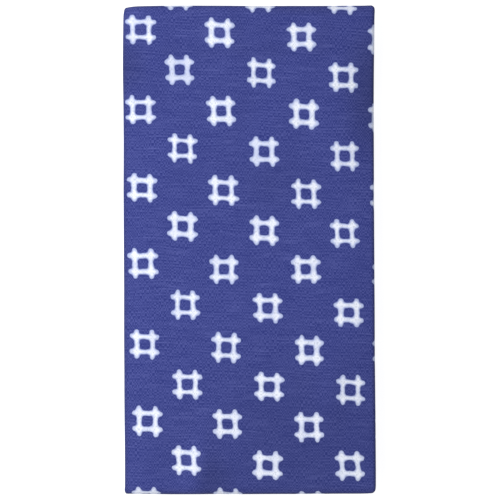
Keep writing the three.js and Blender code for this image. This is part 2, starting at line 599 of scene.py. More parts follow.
@dataclass
class Settling:
    """Moves the evenly folded stack to how it lies in truth, soft and a little out of line.

    Attributes:
        stack: The evenly folded stack.
        lean: How far the far end lies to the left of the near one.
        waist: How far the right side is drawn in along its middle.
        bow: How far the near fold bows out.
        bow_from: How many strips up that bow begins.
        draw_to: How many strips up the layers begin to be drawn in less at their edges.
        side_hold: How closely what moves a side keeps to it, as a power.
        end_hold: How closely what moves an end keeps to it, as a power.
        calm_top: The share of the height under the printed face where the layers breathe less.
        corner_reach: How far from a corner its rounding dies away.
        offsets: How each strip lies, from the bottom one up.
        corners: How the four corners are rounded.
        swells: The swells and hollows of the whole stack.
        creases: The troughs and ridges of the printed face.
        ripple: The unevenness of the face and what is under it.
        breath: How the layers part and meet between bottom and top.
        side_draw: How far the layers are drawn in at the sides.
        end_draw: How far they are drawn in at the ends.
        edge_wander: How the outline wanders to both sides.
    """

    stack: FoldedStack
    lean: float = 0.83 * MM
    waist: float = 0.4 * MM
    bow: float = 0.25 * MM
    bow_from: float = 2.0
    draw_to: float = 2.4
    side_hold: int = 8
    end_hold: int = 16
    calm_top: float = 0.25
    corner_reach: float = 3.4 * MM
    offsets: tuple[Offset, ...] = (
        Offset(right=-0.45 * MM, away=-0.2 * MM),
        Offset(right=0.4 * MM, away=0.15 * MM),
        Offset(right=-0.4 * MM, away=-0.15 * MM),
        Offset(right=0.0, away=0.0),
    )
    corners: tuple[Corner, ...] = (
        Corner(side=-1, end=1, pull_across=0.45 * MM, pull_along=0.6 * MM),
        Corner(side=1, end=1, pull_across=-0.3 * MM, pull_along=-0.2 * MM),
        Corner(side=-1, end=-1, pull_across=0.0, pull_along=-0.1 * MM),
        Corner(side=1, end=-1, pull_across=0.1 * MM, pull_along=0.2 * MM),
    )
    swells: tuple[Swell, ...] = (
        Swell(x=0, y=0, reach_x=400, reach_y=62, lift=-0.03),
        Swell(x=64, y=64, reach_x=13, reach_y=34, lift=-0.26),
        Swell(x=-64, y=-90, reach_x=14, reach_y=22, lift=-0.16),
        Swell(x=63, y=-80, reach_x=8, reach_y=50, lift=-0.05),
        Swell(x=-60, y=83, reach_x=9, reach_y=13, lift=0.11),
        Swell(x=-62, y=114, reach_x=13, reach_y=13, lift=-0.14),
        Swell(x=-28, y=84, reach_x=34, reach_y=24, lift=0.025),
        Swell(x=22, y=-82, reach_x=40, reach_y=26, lift=0.03),
        Swell(x=-60, y=10, reach_x=9, reach_y=60, lift=-0.05),
        Swell(x=60, y=-20, reach_x=8, reach_y=50, lift=-0.05),
    )
    creases: tuple[Crease, ...] = (
        Crease(x=12, y=106.5, turn=-1, reach=44, width=3, rise=-0.68),
        Crease(x=20, y=97, turn=-2, reach=38, width=3.4, rise=0.74),
        Crease(x=-34, y=94, turn=4, reach=26, width=3.2, rise=-0.54),
        Crease(x=-9, y=101, turn=100, reach=10, width=4.5, rise=0.68),
        Crease(x=31, y=100, turn=82, reach=10, width=4.5, rise=0.54),
        Crease(x=-44, y=84, turn=70, reach=16, width=6, rise=0.54),
        Crease(x=6, y=72, turn=64, reach=24, width=7, rise=-0.54),
        Crease(x=-40, y=38, turn=24, reach=22, width=7, rise=0.47),
        Crease(x=18, y=8, turn=-14, reach=34, width=8, rise=-0.47),
        Crease(x=-22, y=-36, turn=10, reach=30, width=7, rise=0.47),
        Crease(x=38, y=-68, turn=86, reach=16, width=5, rise=0.61),
        Crease(x=-23, y=-99, turn=80, reach=15, width=6, rise=1.5),
        Crease(x=-45, y=-96, turn=5, reach=14, width=4, rise=0.41),
        Crease(x=20, y=-84, turn=-8, reach=28, width=6, rise=-0.47),
    )
    ripple: Wander = Wander(size=0.28 * MM, length=15 * MM, height=40 * MM, start=3.7)
    breath: Wander = Wander(size=0.45 * MM, length=34 * MM, height=4.6 * MM, start=11.3)
    side_draw: Wander = Wander(size=0.8 * MM, length=22 * MM, height=4.1 * MM, start=23.9)
    end_draw: Wander = Wander(size=0.7 * MM, length=24 * MM, height=4.1 * MM, start=37.1)
    edge_wander: Wander = Wander(size=0.16 * MM, length=30 * MM, height=40 * MM, start=5.3)

    def _out_of_line(self, z: float) -> Offset:
        """Finds how far cloth at a height lies out of line.

        Args:
            z: The height in the even stack.

        Returns:
            The offset, between those of the two strips nearest to the height.
        """
        level = min(max((z - self.stack.strip / 2) / self.stack.strip, 0.0), len(self.offsets) - 1)
        below, above = self.offsets[math.floor(level)], self.offsets[math.ceil(level)]
        share = ease(level - math.floor(level))
        return Offset(
            right=below.right + (above.right - below.right) * share,
            away=below.away + (above.away - below.away) * share,
        )

    def _height(self, x: float, y: float, z: float) -> float:
        """Finds the settled height of a point of the even stack.

        Args:
            x: The point across the stack.
            y: The point along it.
            z: Its height in the even stack.

        Returns:
            The settled height, which stays 0 at the bottom.
        """
        level = z / self.stack.height
        swollen = z * (1 + sum(swell.at(x, y) for swell in self.swells))
        creased = sum(crease.at(x, y) for crease in self.creases) * ease(level)
        rippled = self.ripple.at(x, y, z) * level
        breathing = self.breath.at(x, y, z) * ease(z / self.stack.strip) * ease((1 - level) / self.calm_top)
        return swollen + creased + rippled + breathing

    def move(self, even: Vector) -> Vector:
        """Finds where a point of the even stack lies in truth.

        Args:
            even: The point in the evenly folded stack.

        Returns:
            The point in the settled one.
        """
        x, y, z = even
        across = x / (self.stack.width / 2)
        along = y / (self.stack.length / 2)
        offset = self._out_of_line(z)
        top = ease(z / self.stack.strip - self.bow_from)
        moved_x = x + offset.right - self.lean / 2 * along
        moved_y = y + offset.away
        moved_x -= self.waist * ease(across) * (1 - along * along)
        moved_y -= self.bow * ease(-along) * top * (1 - across * across)
        under = 1 - ease(z / self.stack.strip - self.draw_to)
        at_side, at_end = across**self.side_hold, along**self.end_hold
        side_draw = self.side_draw.inward(y, across, z) * at_side * under
        end_draw = self.end_draw.inward(x, along, z) * at_end * under
        side_wander = self.edge_wander.at(y, math.copysign(self.stack.width, x), z) * at_side
        end_wander = self.edge_wander.at(x, math.copysign(self.stack.length, y), z) * at_end
        moved_x += side_wander - math.copysign(side_draw, x)
        moved_y += end_wander - math.copysign(end_draw, y)
        for corner in self.corners:
            dx = x - corner.side * self.stack.width / 2
            dy = y - corner.end * self.stack.length / 2
            near = math.exp(-(dx * dx + dy * dy) / self.corner_reach**2)
            moved_x -= corner.side * corner.pull_across * near
            moved_y -= corner.end * corner.pull_along * near
        return Vector((moved_x, moved_y, self._height(x, y, z)))


class Graph:
    """Builds the nodes of one tree and joins them."""

    def __init__(self, tree: bpy.types.NodeTree) -> None:
        """Starts on a tree."""
        self.tree = tree

    def node(self, kind: str, *values: object, **settings: object) -> bpy.types.Node:
        """Adds a node.

        Args:
            kind: The node's type.
            *values: Sockets or plain values for its first inputs, in order.
            **settings: Values for the node's own properties.

        Returns:
            The new node.
        """
        made = self.tree.nodes.new(kind)
        for name, value in settings.items():
            setattr(made, name, value)
        for socket, value in zip(made.inputs, values):
            self._feed_socket(socket, value)
        return made

    def _feed_socket(self, socket: Socket, value: object) -> None:
        """Joins an input to another node's socket, or sets its plain value.

        Args:
            socket: The input.
            value: The other socket, or the plain value.
        """
        if isinstance(value, Socket):
            self.tree.links.new(value, socket)
        else:
            socket.default_value = value

    def feed(self, inputs: Sockets, values: dict[str, object]) -> None:
        """Feeds inputs by their names.

        Args:
            inputs: The inputs of a node.
            values: A socket or a plain value for each input that is named.
        """
        for name, value in values.items():
            self._feed_socket(inputs[name], value)

    def math(self, operation: str, *values: object) -> Socket:
        """Works out a number from sockets or numbers, by one of the Math node's operations."""
        return self.node("ShaderNodeMath", *values, operation=operation).outputs[0]

    def vector(self, operation: str, *values: object) -> Socket:
        """Works out a vector, or the number that the operation gives.

        Args:
            operation: One of the Vector Math node's operations.
            *values: Sockets or vectors.

        Returns:
            The socket that gives the result.
        """
        made = self.node("ShaderNodeVectorMath", *values, operation=operation)
        number = operation in ("DOT_PRODUCT", "LENGTH", "DISTANCE")
        return made.outputs["Value" if number else "Vector"]

    def scaled(self, vector: Socket, factor: object) -> Socket:
        """Scales a vector by one number.

        Args:
            vector: The vector.
            factor: A socket or a number.

        Returns:
            The socket that gives the scaled vector.
        """
        made = self.node("ShaderNodeVectorMath", vector, operation="SCALE")
        self.feed(made.inputs, {"Scale": factor})
        return made.outputs["Vector"]

    def joined(self, x: object, y: object, z: object = 0.0) -> Socket:
        """Joins three numbers into a vector."""
        return self.node("ShaderNodeCombineXYZ", x, y, z).outputs[0]

    def parts(self, vector: Socket) -> tuple[Socket, ...]:
        """Splits a vector into its three numbers."""
        return tuple(self.node("ShaderNodeSeparateXYZ", vector).outputs)

    def ramp(
        self, value: object, low: float, high: float, start: float = 0.0, end: float = 1.0
    ) -> Socket:
        """Makes one number change softly as another goes over a range.

        Args:
            value: The other number.
            low: Where in its range the change begins.
            high: Where it ends.
            start: The number up to low.
            end: The number from high on.

        Returns:
            The socket that gives the changing number.
        """
        numbers = (value, low, high, start, end)
        return self.node("ShaderNodeMapRange", *numbers, interpolation_type="SMOOTHSTEP").outputs[0]

    def mixed(self, share: object, first: object, second: object) -> Socket:
        """Mixes two colours.

        Args:
            share: How much of the second there is.
            first: The first colour.
            second: The second one.

        Returns:
            The socket that gives the mixed colour.
        """
        made = self.node("ShaderNodeMix", share, data_type="RGBA")
        colours = [socket for socket in made.inputs if socket.type == "RGBA"]
        for socket, colour in zip(colours, (first, second)):
            self._feed_socket(socket, colour)
        return next(socket for socket in made.outputs if socket.type == "RGBA")

    def cloud(self, vector: Socket, turns: float, detail: float = 0.0) -> bpy.types.Node:
        """Adds smooth noise, whose outputs are a number and a colour of three.

        Args:
            vector: Where it is read.
            turns: How many turns it has in one unit of that place.
            detail: How many finer layers it has.

        Returns:
            The noise node.
        """
        made = self.node("ShaderNodeTexNoise", noise_dimensions="3D")
        self.feed(made.inputs, {"Vector": vector, "Scale": turns, "Detail": detail})
        return made

    def dice(self, column: Socket, row: Socket, throw: float = 0.0) -> bpy.types.Node:
        """Adds a throw of dice, which gives each column of each row a number and a colour of its own.

        Args:
            column: The number of the column.
            row: The number of the row.
            throw: Which throw it is, as another one falls differently.

        Returns:
            The white noise node.
        """
        made = self.node("ShaderNodeTexWhiteNoise", noise_dimensions="3D" if throw else "2D")
        self.feed(made.inputs, {"Vector": self.joined(column, row, throw)})
        return made


class Effect:
    """A node group that the finishes share: from a place on the flat cloth it works out numbers.

    Attributes:
        graph: The group's own graph.
        result: The inputs of its output node, one for each number.
    """

    def __init__(self, name: str, *outputs: str) -> None:
        """Makes the empty group.

        Args:
            name: The group's name.
            *outputs: The names of the numbers that it gives.
        """
        self._tree = bpy.data.node_groups.new(name, "ShaderNodeTree")
        self._tree.interface.new_socket("Cloth", in_out="INPUT", socket_type="NodeSocketVector")
        for label in outputs:
            self._tree.interface.new_socket(label, in_out="OUTPUT", socket_type="NodeSocketFloat")
        self.graph = Graph(self._tree)
        self._given = self.graph.node("NodeGroupInput").outputs
        self.result = self.graph.node("NodeGroupOutput").inputs

    @property
    def cloth(self) -> Socket:
        """The place on the flat cloth, inside the group."""
        return self._given["Cloth"]

    def place(self, g: Graph, cloth: Socket) -> Sockets:
        """Places the group in a material.

        Args:
            g: The material's graph.
            cloth: The place on the flat cloth.

        Returns:
            The outputs of the group's node.
        """
        made = g.node("ShaderNodeGroup", node_tree=self._tree)
        g.feed(made.inputs, {"Cloth": cloth})
        return made.outputs


class NearestMark(NamedTuple):
    """The printed mark that is nearest to a place.

    Attributes:
        across: How many steps the place is from the mark along its row.
        along: How many steps it is from it along its column.
        column: The number of the mark's column.
        row: The number of its row.
    """

    across: Socket
    along: Socket
    column: Socket
    row: Socket


class OwnWay(NamedTuple):
    """How one mark differs from the others, each number from -1 to 1.

    Attributes:
        right: How far it lies to the right.
        tilt: How far it is turned.
        narrowness: How much narrower it is.
        near: How far it lies towards the near end.
        shortness: How much shorter it is.
        fatness: How much wider its bars are.
    """

    right: Socket
    tilt: Socket
    narrowness: Socket
    near: Socket
    shortness: Socket
    fatness: Socket


@dataclass(frozen=True)
class WellCurbPrint:
    """The printed repeat: two bars crossing two bars, in rows that stand half a repeat apart.

    Sizes are in millimetres on the flat cloth, from the middle of the printed panel of its top quarter.

    Attributes:
        first: The place of one mark.
        across: The step to the next column, with the cloth's own skew.
        along: The step to the next row, with the cloth's own skew.
        spread: Half the distance between a mark's upright bars, and between its level ones.
        reach: How far its level bars, and its upright ones, go from the middle of the mark.
        upright: Half the width of an upright bar.
        level: Half the width of a level bar.
        tip: Half the width of a bar at its tip.
        inner_fillet: How softly the bars join round the hole of the mark.
        outer_fillet: How softly the tips join outside it.
        stray_across: How far a mark may lie off its place across the cloth.
        stray_along: How far it may lie off its place along the cloth.
        throws: Which two throws of the dice the marks' own differences come from.
        tilt: How far a mark may be turned, in radians.
        stretch: How much longer or shorter it may be, as a share.
        fattening: How much its bars may be wider or narrower to each side.
        bleed: How far the edge of the resist is spread by the dye.
        ring: How far out of the mark the dye is darker.
        clean: How clean its white is, by the distance to its edge, which is below 0 inside it.
        bar_clean: How clean the white still is halfway along a bar.
        tip_clean: How clean it still is at the tips.
        mottled: How clean it still is where it is mottled, by the slow unevenness of the print.
        near_end: How much cleaner it is towards the near end, by the place along the cloth.
        broad_turns: How many turns the slow unevenness of the print has in a metre.
        broad_wobble: How far it shifts the edges of the marks.
        fine_turns: How many turns the quick unevenness has in a metre.
        fine_wobble: How far it shifts the edges.
        middle_tone: The middle of what an unevenness swings between.
    """

    first: Pair = (-50.82, 101.3)
    across: Pair = (18.93, -0.59)
    along: Pair = (0.252, -18.11)
    spread: Pair = (3.65, 3.53)
    reach: Pair = (6.9, 6.82)
    upright: float = 1.15
    level: float = 1.065
    tip: float = 1.0
    inner_fillet: float = 2.45
    outer_fillet: float = 2.8
    stray_across: float = 0.8
    stray_along: float = 0.9
    throws: Pair = (628280.0, 867350.0)
    tilt: float = 0.03
    stretch: float = 0.035
    fattening: float = 0.12
    bleed: float = 0.3
    ring: float = 0.9
    clean: Change = Change(-0.1, -0.85)
    bar_clean: float = 0.72
    tip_clean: float = 0.05
    mottled: Change = Change(0.3, 0.6, start=0.7)
    near_end: Change = Change(-20.0, -110.0, end=0.22)
    broad_turns: float = 190.0
    broad_wobble: float = 0.7
    fine_turns: float = 620.0
    fine_wobble: float = 0.5
    middle_tone: Triple = (0.5, 0.5, 0.5)

    def build(self) -> Effect:
        """Builds the group.

        Returns:
            The group, which gives how far a place is undyed, how clean its white is, and how dark the ring
            of dye round a mark is.
        """
        effect = Effect("well_curb_print", "Mark", "White", "Ring")
        g = effect.graph
        place = g.scaled(effect.cloth, 1 / MM)
        broad = g.cloud(effect.cloth, self.broad_turns).outputs["Color"]
        fine = g.cloud(effect.cloth, self.fine_turns).outputs["Color"]
        for wobble, size in ((broad, self.broad_wobble), (fine, self.fine_wobble)):
            shift = g.scaled(g.vector("SUBTRACT", wobble, self.middle_tone), size)
            place = g.vector("ADD", place, shift)
        mark = self._nearest(g, place)
        own = self._own_way(g, mark)
        x, y = self._straightened(g, mark, own)
        distance = self._distance(g, x, y, own)
        undyed = g.ramp(distance, self.bleed, -self.bleed)
        _, _, mottle = g.parts(broad)
        clean = self._cleanness(g, x, y, distance, mottle)
        _, along, _ = g.parts(place)
        cleaner = g.ramp(along, *self.near_end)
        white = g.math("MULTIPLY_ADD", g.math("SUBTRACT", 1.0, clean), cleaner, clean)
        ring = g.ramp(distance, self.ring, self.bleed)
        g.feed(effect.result, {"Mark": undyed, "White": white, "Ring": ring})
        return effect

    def _nearest(self, g: Graph, place: Socket) -> NearestMark:
        """Finds the nearest mark.

        Args:
            g: The group's graph.
            place: A place on the flat cloth, in millimetres.

        Returns:
            The mark, and how many steps the place is from it.
        """
        steps = Matrix((self.across, self.along)).transposed().inverted()
        away = g.vector("SUBTRACT", place, (*self.first, 0.0))
        column = g.vector("DOT_PRODUCT", away, (*steps[0], 0.0))
        row = g.vector("DOT_PRODUCT", away, (*steps[1], 0.0))
        falling = g.math("ROUND", g.math("MULTIPLY", g.math("ADD", column, row), 0.5))
        rising = g.math("ROUND", g.math("MULTIPLY", g.math("SUBTRACT", column, row), 0.5))
        nearest_column = g.math("ADD", falling, rising)
        nearest_row = g.math("SUBTRACT", falling, rising)
        across = g.math("SUBTRACT", column, nearest_column)
        along = g.math("SUBTRACT", row, nearest_row)
        return NearestMark(across, along, nearest_column, nearest_row)

    def _own_way(self, g: Graph, mark: NearestMark) -> OwnWay:
        """Throws the dice for how a mark differs from the others.

        Args:
            g: The group's graph.
            mark: The mark.

        Returns:
            Its six differences.
        """
        found = []
        for throw in self.throws:
            dice = g.dice(mark.column, mark.row, throw)
            both_ways = g.vector("MULTIPLY_ADD", dice.outputs["Color"], (2.0, 2.0, 2.0), (-1.0, -1.0, -1.0))
            found.extend(g.parts(both_ways))
        return OwnWay(*found)

    def _straightened(self, g: Graph, mark: NearestMark, own: OwnWay) -> tuple[Socket, Socket]:
        """Turns steps from a mark into millimetres in its own directions.

        Args:
            g: The group's graph.
            mark: The mark, and how many steps the place is from it.
            own: The mark's own stray, tilt and stretch.

        Returns:
            How far the place is from the mark's middle across it and along it, to whichever side.
        """
        stray_x = g.math("MULTIPLY", own.right, self.stray_across)
        stray_y = g.math("MULTIPLY", own.near, self.stray_along)
        x = g.math("SUBTRACT", g.math("MULTIPLY", mark.across, Vector(self.across).length), stray_x)
        y = g.math("SUBTRACT", g.math("MULTIPLY", mark.along, Vector(self.along).length), stray_y)
        tilt = g.math("MULTIPLY", own.tilt, self.tilt)
        tilted_x = g.math("MULTIPLY_ADD", y, tilt, x)
        tilted_y = g.math("SUBTRACT", y, g.math("MULTIPLY", x, tilt))
        stretch_x = g.math("MULTIPLY_ADD", own.narrowness, self.stretch, 1.0)
        stretched_x = g.math("MULTIPLY", tilted_x, stretch_x)
        stretch_y = g.math("MULTIPLY_ADD", own.shortness, self.stretch, 1.0)
        stretched_y = g.math("MULTIPLY", tilted_y, stretch_y)
        return g.math("ABSOLUTE", stretched_x), g.math("ABSOLUTE", stretched_y)

    def _bar(
        self, g: Graph, aside: Socket, ahead: Socket, half_width: Socket, crossing: float, reach: float
    ) -> Socket:
        """Works out the distance to a bar with narrowing round tips.

        Args:
            g: The group's graph.
            aside: The distance to the side of the bar's middle line.
            ahead: The distance along it.
            half_width: Half the bar's width along its middle.
            crossing: How far along it the bar is crossed.
            reach: How far along it the tip ends.

        Returns:
            The distance to the bar's edge, below 0 inside it.
        """
        past = g.math("MAXIMUM", g.math("SUBTRACT", ahead, reach - self.tip), 0.0)
        tapering = g.ramp(ahead, crossing, reach)
        narrowing = g.math("MULTIPLY", tapering, g.math("SUBTRACT", half_width, self.tip))
        width = g.math("SUBTRACT", half_width, narrowing)
        square = g.math("MULTIPLY_ADD", aside, aside, g.math("MULTIPLY", past, past))
        return g.math("SUBTRACT", g.math("SQRT", square), width)

    def _distance(self, g: Graph, x: Socket, y: Socket, own: OwnWay) -> Socket:
        """Works out the distance to the mark's edge.

        Args:
            g: The group's graph.
            x: How far the place is from the mark's middle across it.
            y: How far it is along it.
            own: How wide the mark's own bars are.

        Returns:
            The distance, below 0 inside the mark.
        """
        upright_width = g.math("MULTIPLY_ADD", own.fatness, self.fattening, self.upright)
        level_width = g.math("MULTIPLY_ADD", own.fatness, self.fattening, self.level)
        spread_x, spread_y = self.spread
        reach_x, reach_y = self.reach
        upright = self._bar(g, g.math("SUBTRACT", x, spread_x), y, upright_width, spread_y, reach_y)
        level = self._bar(g, g.math("SUBTRACT", y, spread_y), x, level_width, spread_x, reach_x)
        inward = g.math("MINIMUM", x, y)
        hole, outside = spread_y - self.level, spread_y + self.level
        fillet = g.ramp(inward, hole, outside, self.inner_fillet, self.outer_fillet)
        return g.math("SMOOTH_MIN", upright, level, fillet)

    def _cleanness(self, g: Graph, x: Socket, y: Socket, distance: Socket, mottle: Socket) -> Socket:
        """Works out how clean the white is: most at the crossings, and less along the bars and at the tips.

        Args:
            g: The group's graph.
            x: How far the place is from the mark's middle across it.
            y: How far it is along it.
            distance: The distance to the mark's edge, below 0 inside it.
            mottle: The slow unevenness of the print.

        Returns:
            From 0 where the white took a little dye to 1 where it took none.
        """
        tips_begin, tips_end = self.spread[0] + self.upright, self.reach[0] - self.bleed
        from_crossing = g.vector("DISTANCE", g.joined(x, y), (*self.spread, 0.0))
        cleanness = g.ramp(distance, *self.clean)
        for share in (
            g.ramp(from_crossing, self.upright, self.spread[0], 1.0, self.bar_clean),
            g.ramp(g.math("MAXIMUM", x, y), tips_begin, tips_end, 1.0, self.tip_clean),
            g.ramp(mottle, *self.mottled),
        ):
            cleanness = g.math("MULTIPLY", cleanness, share)
        return cleanness


@dataclass(frozen=True)
class GauzeWeave:
    """A plain weave of fine uneven threads.

    Attributes:
        warp_pitch: From one lengthwise thread to the next.
        weft_pitch: From one crosswise thread to the next.
        crimp: How much a thread rises and sinks at its crossings, as a share of its height.
        skew: How far the crosswise threads fall to the right, as a share of their run.
        drift: How far the threads wander off their lines.
        drift_turns: How many turns that wander has in a metre.
        slub_length: How long a thicker or paler stretch of a thread is.
        slub_detail: How many finer layers the unevenness along a thread has.
        slub_apart: How far two neighbouring threads are apart in that unevenness, so that they differ.
        specks: How much of the relief differs from crossing to crossing.
        tufts: How much of it lies in tufts of two threads by two.
        rows: How much of it lies along the crosswise threads.
        every_second: How much every second crosswise thread stands out.
        over: How much the thread on top stands out.
        row_contrast: How a crosswise thread stands out, by how pale it is.
        over_contrast: How the crosswise thread stands out, by how far it lies over the lengthwise one.
        contrast: How the whole relief is spread from 0 to 1.
    """

    warp_pitch: float = 0.557 * MM
    weft_pitch: float = 0.696 * MM
    crimp: float = 0.4
    skew: float = 0.037
    drift: float = 3.2 * MM
    drift_turns: float = 45.0
    slub_length: float = 12 * MM
    slub_detail: float = 2.0
    slub_apart: float = 7.31
    specks: float = 0.12
    tufts: float = 0.46
    rows: float = 0.18
    every_second: float = 0.1
    over: float = 0.14
    row_contrast: Change = Change(0.25, 0.75)
    over_contrast: Change = Change(-0.3, 0.3)
    contrast: Change = Change(0.25, 0.75)

    def build(self) -> Effect:
        """Builds the group.

        Returns:
            The group, which gives how high the threads stand, how much they stand out in tone, and how pale
            the crosswise thread and the lengthwise one are.
        """
        effect = Effect("gauze_weave", "Height", "Relief", "Weft", "Warp")
        g = effect.graph
        wander = g.cloud(effect.cloth, self.drift_turns, detail=1.0).outputs["Color"]
        bent = g.vector("ADD", effect.cloth, g.scaled(wander, self.drift))
        x, level_y, _ = g.parts(bent)
        y = g.math("MULTIPLY_ADD", x, self.skew, level_y)
        warp = g.math("DIVIDE", x, self.warp_pitch)
        weft = g.math("DIVIDE", y, self.weft_pitch)
        warp_number, weft_number = g.math("FLOOR", warp), g.math("FLOOR", weft)
        warp_height = self._thread(g, warp, weft, warp_number, self.crimp)
        weft_height = self._thread(g, weft, warp, weft_number, -self.crimp)
        height = g.math("MAXIMUM", warp_height, weft_height)
        weft_paleness = self._paleness(g, x, weft_number)
        warp_paleness = self._paleness(g, y, warp_number)
        relief = 0.0
        for part, share in (
            (g.dice(warp_number, weft_number).outputs["Value"], self.specks),
            (self._tuft(g, warp_number, weft_number), self.tufts),
            (g.ramp(weft_paleness, *self.row_contrast), self.rows),
            (g.math("FLOORED_MODULO", weft_number, 2.0), self.every_second),
            (g.ramp(g.math("SUBTRACT", weft_height, warp_height), *self.over_contrast), self.over),
        ):
            relief = g.math("MULTIPLY_ADD", part, share, relief)
        spread = g.ramp(relief, *self.contrast)
        values = {"Height": height, "Relief": spread, "Weft": weft_paleness, "Warp": warp_paleness}
        g.feed(effect.result, values)
        return effect

    def _tuft(self, g: Graph, warp_number: Socket, weft_number: Socket) -> Socket:
        """Works out how much a crossing stands out from its three neighbours in one tuft.

        Args:
            g: The group's graph.
            warp_number: The number of the lengthwise thread.
            weft_number: The number of the crosswise one.

        Returns:
            From 0 to 1.
        """
        pairs = [g.math("FLOOR", g.math("MULTIPLY", number, 0.5)) for number in (warp_number, weft_number)]
        odd = g.math("FLOORED_MODULO", g.math("ADD", warp_number, weft_number), 2.0)
        return g.math("ABSOLUTE", g.math("SUBTRACT", odd, g.dice(*pairs).outputs["Value"]))

    def _thread(self, g: Graph, across: Socket, along: Socket, number: Socket, crimp: float) -> Socket:
        """Works out the height of one set of threads.

        Args:
            g: The group's graph.
            across: The place across the threads, in threads.
            along: The place along them, in crossings.
            number: The number of the thread.
            crimp: How much it rises and sinks, below 0 for the set that is under at even crossings.

        Returns:
            The height, from 0 to 1.
        """
        off_middle = g.math("SUBTRACT", g.math("FRACT", across), 0.5)
        round_top = g.math("COSINE", g.math("MULTIPLY", off_middle, math.pi))
        phase = g.math("SUBTRACT", g.math("SUBTRACT", along, 0.5), number)
        wave = g.math("COSINE", g.math("MULTIPLY", phase, math.pi))
        return g.math("MULTIPLY", round_top, g.math("MULTIPLY_ADD", wave, crimp, 1.0 - self.crimp))

    def _paleness(self, g: Graph, along: Socket, number: Socket) -> Socket:
        """Works out how pale a thread is along its length.

        Args:
            g: The group's graph.
            along: The place along the thread.
            number: The number of the thread.

        Returns:
            From about 0 to 1.
        """
        slubs = g.math("DIVIDE", along, self.slub_length)
        place = g.joined(slubs, g.math("MULTIPLY", number, self.slub_apart))
        return g.cloud(place, turns=1.0, detail=self.slub_detail).outputs[0]


@dataclass(frozen=True)
class SoftMottle:
    """Slow changes of tone, as where cloth has taken more or less dye.

    Attributes:
        broad: How many turns the slowest one has in a metre.
        fine: How many turns the next one has.
        grain: How many turns the quickest one has.
    """

    broad: float = 28.0
    fine: float = 150.0
    grain: float = 1000.0

    def build(self) -> Effect:
        """Builds the group.

        Returns:
            The group, which gives the three tones, each from about 0 to 1.
        """
        effect = Effect("soft_mottle", "Broad", "Fine", "Grain")
        g = effect.graph
        for label, turns in (("Broad", self.broad), ("Fine", self.fine), ("Grain", self.grain)):
            g.feed(effect.result, {label: g.cloud(effect.cloth, turns, detail=1.0).outputs[0]})
        return effect


@dataclass(frozen=True)
class TonePatch:
    """A soft patch where the colour changes, with its place and size in millimetres: painted shade or
    painted light on the ground, or dye that crept into a mark.

    Attributes:
        x: Its middle across the cloth.
        y: Its middle along the cloth.
        reach_x: How far it goes to each side across the cloth.
        reach_y: How far it goes to each side along it.
        depth: How much of the change there is at its middle, below 0 where the ground is painted paler as
            light.
    """

    x: float
    y: float
    reach_x: float
    reach_y: float
    depth: float


@dataclass(frozen=True)
class ShadeLightAndDye:
    """The painted shade and painted light on the ground of the top quarter, and the dye that crept into its
    marks, placed from the middle of its printed panel.

    Attributes:
        painted_shade_and_light: Where the ground is painted darker as shade, on creases and slopes turned
            from the light, at its edges and towards the lower right, and paler as light where it faces the
            light; a little of it is dye that took unevenly.
        crept_in: Where dye crept into the marks.
    """

    painted_shade_and_light: tuple[TonePatch, ...] = (
        # Painted shade, with a little dye that took unevenly: the ground is darkened towards the lower
        # right, on the right edge's slope, at the left edge and along the creases, where shade falls.
        TonePatch(x=22, y=-92, reach_x=72, reach_y=74, depth=0.2),
        TonePatch(x=-16, y=-108, reach_x=15, reach_y=17, depth=0.22),
        TonePatch(x=62, y=76, reach_x=24, reach_y=44, depth=0.36),
        TonePatch(x=-58, y=84, reach_x=17, reach_y=17, depth=0.2),
        TonePatch(x=28, y=111.5, reach_x=42, reach_y=4, depth=0.18),
        TonePatch(x=0, y=93, reach_x=80, reach_y=7, depth=0.06),
        TonePatch(x=12, y=32, reach_x=30, reach_y=24, depth=0.1),
        # Painted light: paler pools on the sides of the creases that face the light.
        TonePatch(x=-16, y=100.5, reach_x=12, reach_y=7, depth=-0.15),
        TonePatch(x=24, y=99.5, reach_x=12, reach_y=7, depth=-0.1),
        TonePatch(x=-57, y=108, reach_x=16, reach_y=14, depth=-0.08),
        TonePatch(x=-50, y=-92, reach_x=34, reach_y=40, depth=0.08),
        TonePatch(x=-27, y=-98, reach_x=9, reach_y=9, depth=-0.14),
        # Painted shade: dark bands along the four folded edges of the top, where the cloth turns down away
        # from the light.
        TonePatch(x=-58.5, y=0, reach_x=2.3, reach_y=600, depth=0.42),
        TonePatch(x=59, y=0, reach_x=2.4, reach_y=600, depth=0.35),
        TonePatch(x=0, y=114.6, reach_x=400, reach_y=2.6, depth=0.3),
        TonePatch(x=0, y=-114.6, reach_x=400, reach_y=2.6, depth=0.4),
    )
    crept_in: tuple[TonePatch, ...] = (
        TonePatch(x=-32.5, y=84, reach_x=14, reach_y=14, depth=0.5),
        TonePatch(x=5, y=46, reach_x=14, reach_y=14, depth=0.36),
    )

    def build(self) -> Effect:
        """Builds the group.

        Returns:
            The group, which gives how much painted shade a place has, how much painted light, and how much
            dye crept into a mark.
        """
        effect = Effect("painted_shade_light_and_dye", "PaintedShade", "PaintedLight", "Crept")
        g = effect.graph
        sums = {"PaintedShade": 0.0, "PaintedLight": 0.0, "Crept": 0.0}
        # Patches that darken paint shade, and patches that lighten paint light.
        labelled = [("PaintedShade" if patch.depth > 0 else "PaintedLight", patch) for patch in self.painted_shade_and_light]
        labelled += [("Crept", patch) for patch in self.crept_in]
        for label, patch in labelled:
            away = g.vector("SUBTRACT", effect.cloth, (patch.x * MM, patch.y * MM, 0.0))
            per_reach = (1 / (patch.reach_x * MM), 1 / (patch.reach_y * MM), 0.0)
            share = g.vector("MULTIPLY", away, per_reach)
            soft = g.ramp(g.vector("LENGTH", share), 1.0, 0.0)
            sums[label] = g.math("MULTIPLY_ADD", soft, abs(patch.depth), sums[label])
        g.feed(effect.result, sums)
        return effect


